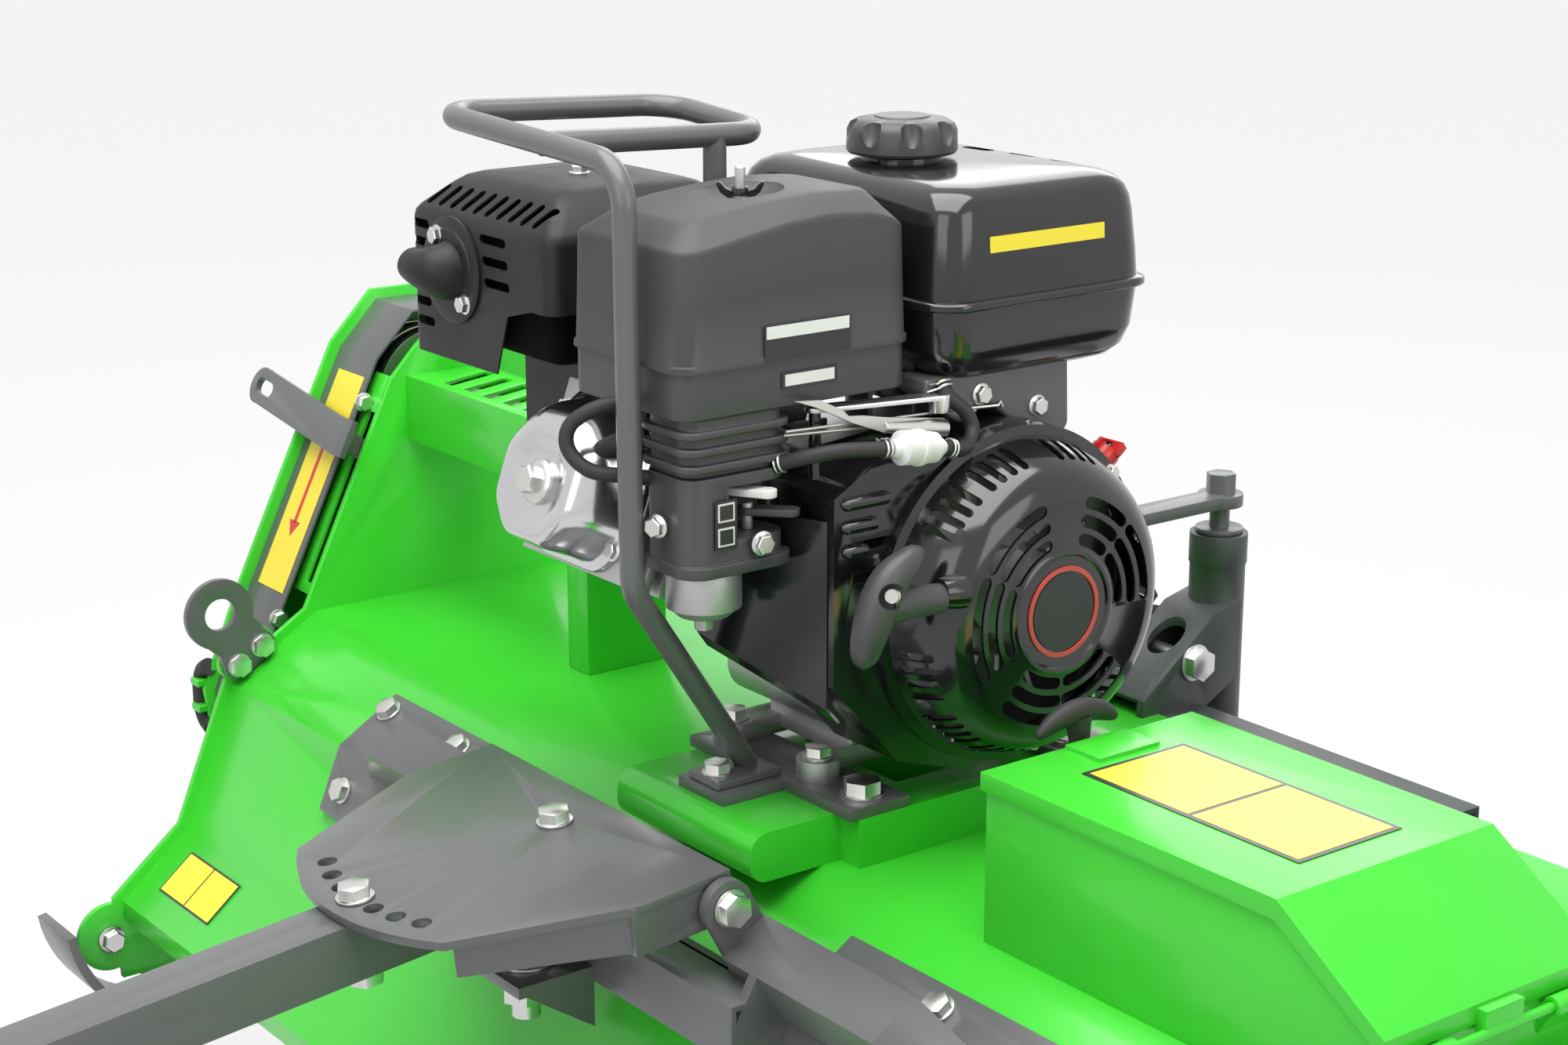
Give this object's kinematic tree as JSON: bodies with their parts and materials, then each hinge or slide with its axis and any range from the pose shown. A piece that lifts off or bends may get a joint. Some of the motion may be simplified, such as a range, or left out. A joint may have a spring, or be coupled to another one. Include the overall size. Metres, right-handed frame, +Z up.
{
  "type": "flail mower",
  "caption": "Towed flail mower with a petrol engine on a steel deck, belt-driven rotor with hinged flails, swivelling drawbar, jack-raised wheels and a battery box",
  "frame": {"origin": "on the ground under the middle of the machine's bounding box", "axes": "+X points forward along the drawbar, +Y to the machine's left, +Z up"},
  "size_m": [1.875, 1.441, 0.8292],
  "materials": {
    "lime_paint": "gloss powder coat",
    "graphite_paint": "satin powder coat",
    "black_paint": "gloss enamel",
    "dark_plastic": "fine grain",
    "zinc_steel": "zinc plated",
    "cast_alloy": "as cast",
    "chrome_cover": "polished",
    "dark_iron": "forged and oiled",
    "black_rubber": "moulded",
    "tyre_rubber": "moulded tread",
    "red_plastic": "moulded",
    "white_plastic": "moulded"
  },
  "bodies": {
    "chassis": {"deck_shell": "lime_paint", "left_side_plate": "lime_paint", "right_side_plate": "lime_paint", "engine_platform": "lime_paint", "guard_plate": "lime_paint", "shaft_tunnel": "lime_paint", "battery_box": "lime_paint", "skids": "graphite_paint", "engine_rails": "graphite_paint", "belt_housing": "graphite_paint", "lift_brackets": "graphite_paint", "front_frame": "graphite_paint", "jack_post": "graphite_paint", "guard_bar": "graphite_paint", "muffler": "black_paint", "muffler_shield": "black_paint", "exhaust_deflector": "black_paint", "fuel_tank": "black_paint", "blower_housing": "black_paint", "recoil_cover": "black_paint", "air_filter_cover": "dark_plastic", "filter_base": "dark_plastic", "intake_cover": "dark_plastic", "battery": "dark_plastic", "fasteners": "zinc_steel", "crankcase": "cast_alloy", "cylinder_head": "cast_alloy", "carburetor": "cast_alloy", "valve_cover": "chrome_cover", "shaft_bearings": "dark_iron", "drive_belts": "black_rubber", "hoses": "black_rubber"},
    "flap": {"rear_flap": "black_rubber"},
    "tension_arm": {"tension_lever": "graphite_paint"},
    "idler": {"idler_pulley": "zinc_steel"},
    "crank": {"drive_shaft": "zinc_steel", "flywheel": "cast_alloy"},
    "rotor_body": {"rotor": "graphite_paint", "rotor_pulley": "dark_iron"},
    "flails_a": {"flail_row_a": "dark_iron"},
    "flails_b": {"flail_row_b": "dark_iron"},
    "hitch": {"swivel_plate": "graphite_paint", "plate_bolts": "zinc_steel"},
    "towbar": {"drawbar": "graphite_paint", "lock_bolt": "zinc_steel"},
    "wheel_carrier": {"wheel_frame": "graphite_paint"},
    "left_wheel": {"left_rim": "graphite_paint", "left_tyre": "tyre_rubber"},
    "right_wheel": {"right_rim": "graphite_paint", "right_tyre": "tyre_rubber"},
    "jack_turner": {"jack_crank": "graphite_paint"},
    "jack_slider": {"jack_leg": "zinc_steel"},
    "cap": {"fuel_cap": "dark_plastic"},
    "handle": {"recoil_handle": "dark_plastic"},
    "throttle": {"throttle_lever": "zinc_steel"},
    "choke": {"choke_lever": "white_plastic"},
    "fuel_tap": {"fuel_lever": "dark_plastic"},
    "switch": {"engine_switch": "red_plastic"},
    "lid": {"box_lid": "lime_paint"},
    "latch": {"box_latch": "black_rubber"}
  },
  "joints": [
    {"name": "flap_swing", "type": "hinge", "parent": "chassis", "child": "flap", "pos_m": [-0.4895, 0.0755, 0.212], "axis": [0, 1, 0], "range_deg": [-40, 15]},
    {"name": "tension_swing", "type": "hinge", "parent": "chassis", "child": "tension_arm", "pos_m": [-0.2875, -0.5445, 0.34], "axis": [0, 1, 0], "range_deg": [0, 20]},
    {"name": "idler_spin", "type": "hinge", "parent": "tension_arm", "child": "idler", "pos_m": [-0.23851, -0.5895, 0.39466], "axis": [0, 1, 0], "continuous": true},
    {"name": "rotor_spin", "type": "hinge", "parent": "chassis", "child": "rotor_body", "pos_m": [-0.1875, 0.0755, 0.175], "axis": [0, 1, 0], "continuous": true},
    {"name": "crank_spin", "type": "hinge", "parent": "chassis", "child": "crank", "pos_m": [-0.2275, 0.0755, 0.505], "axis": [0, 1, 0], "continuous": true},
    {"name": "flail_swing_a", "type": "hinge", "parent": "rotor_body", "child": "flails_a", "pos_m": [-0.1215, 0.0755, 0.175], "axis": [0, 1, 0], "range_deg": [-200, 20]},
    {"name": "flail_swing_b", "type": "hinge", "parent": "rotor_body", "child": "flails_b", "pos_m": [-0.2535, 0.0755, 0.175], "axis": [0, 1, 0], "range_deg": [-20, 200]},
    {"name": "drawbar_pitch", "type": "hinge", "parent": "chassis", "child": "hitch", "pos_m": [0.0285, 0.0755, 0.35], "axis": [0, -1, 0], "range_deg": [0, 15]},
    {"name": "drawbar_swing", "type": "hinge", "parent": "hitch", "child": "towbar", "pos_m": [0.05834, 0.0755, 0.34686], "axis": [0.1045, 0, 0.9945], "range_deg": [-24, 24]},
    {"name": "jack_turn", "type": "hinge", "parent": "chassis", "child": "jack_turner", "pos_m": [-0.5645, 0.0755, 0.462], "axis": [0, 0, 1], "range_deg": [0, 1800]},
    {"name": "axle_swing", "type": "hinge", "parent": "chassis", "child": "wheel_carrier", "pos_m": [-0.3975, 0.0755, 0.25], "axis": [0, -1, 0], "range_deg": [0, 12]},
    {"name": "jack_slide", "type": "slide", "parent": "chassis", "child": "jack_slider", "axis": [0, 0, -1], "range_m": [0, 0.035]},
    {"name": "left_wheel_spin", "type": "hinge", "parent": "wheel_carrier", "child": "left_wheel", "pos_m": [-0.7725, 0.5455, 0.165], "axis": [0, 1, 0], "continuous": true},
    {"name": "right_wheel_spin", "type": "hinge", "parent": "wheel_carrier", "child": "right_wheel", "pos_m": [-0.7725, -0.3945, 0.165], "axis": [0, 1, 0], "continuous": true},
    {"name": "cap_turn", "type": "hinge", "parent": "chassis", "child": "cap", "pos_m": [-0.2475, 0.0595, 0.795], "axis": [0, 0, 1], "range_deg": [0, 90]},
    {"name": "handle_pull", "type": "slide", "parent": "chassis", "child": "handle", "axis": [1, 0, 0], "range_m": [0, 0.5], "stiffness_N_per_m": 20},
    {"name": "throttle_turn", "type": "hinge", "parent": "chassis", "child": "throttle", "pos_m": [-0.0875, 0.1675, 0.645], "axis": [0, 0, 1], "range_deg": [-25, 0]},
    {"name": "choke_turn", "type": "hinge", "parent": "chassis", "child": "choke", "pos_m": [-0.0215, 0.1565, 0.6], "axis": [0, 0, 1], "range_deg": [0, 35]},
    {"name": "fuel_tap_turn", "type": "hinge", "parent": "chassis", "child": "fuel_tap", "pos_m": [-0.0375, 0.1605, 0.584], "axis": [0, 0, 1], "range_deg": [0, 40]},
    {"name": "switch_turn", "type": "hinge", "parent": "chassis", "child": "switch", "pos_m": [-0.3175, 0.1805, 0.569], "axis": [-0.8, 0, 0.6], "range_deg": [0, 60]},
    {"name": "lid_open", "type": "hinge", "parent": "chassis", "child": "lid", "pos_m": [-0.1765, 0.6735, 0.379], "axis": [-1, 0, 0], "range_deg": [0, 100]},
    {"name": "latch_flip", "type": "hinge", "parent": "chassis", "child": "latch", "pos_m": [-0.1795, 0.3355, 0.397], "axis": [1, 0, 0], "range_deg": [0, 110]}
  ],
  "couplings": [
    {"joint": "crank_spin", "follows": "rotor_spin", "ratio": 1.1524},
    {"joint": "idler_spin", "follows": "rotor_spin", "ratio": 2.1538},
    {"joint": "axle_swing", "follows": "jack_turn", "ratio": 0.0066667},
    {"joint": "jack_slide", "follows": "jack_turn", "m_per_rad": 0.0011141}
  ]
}
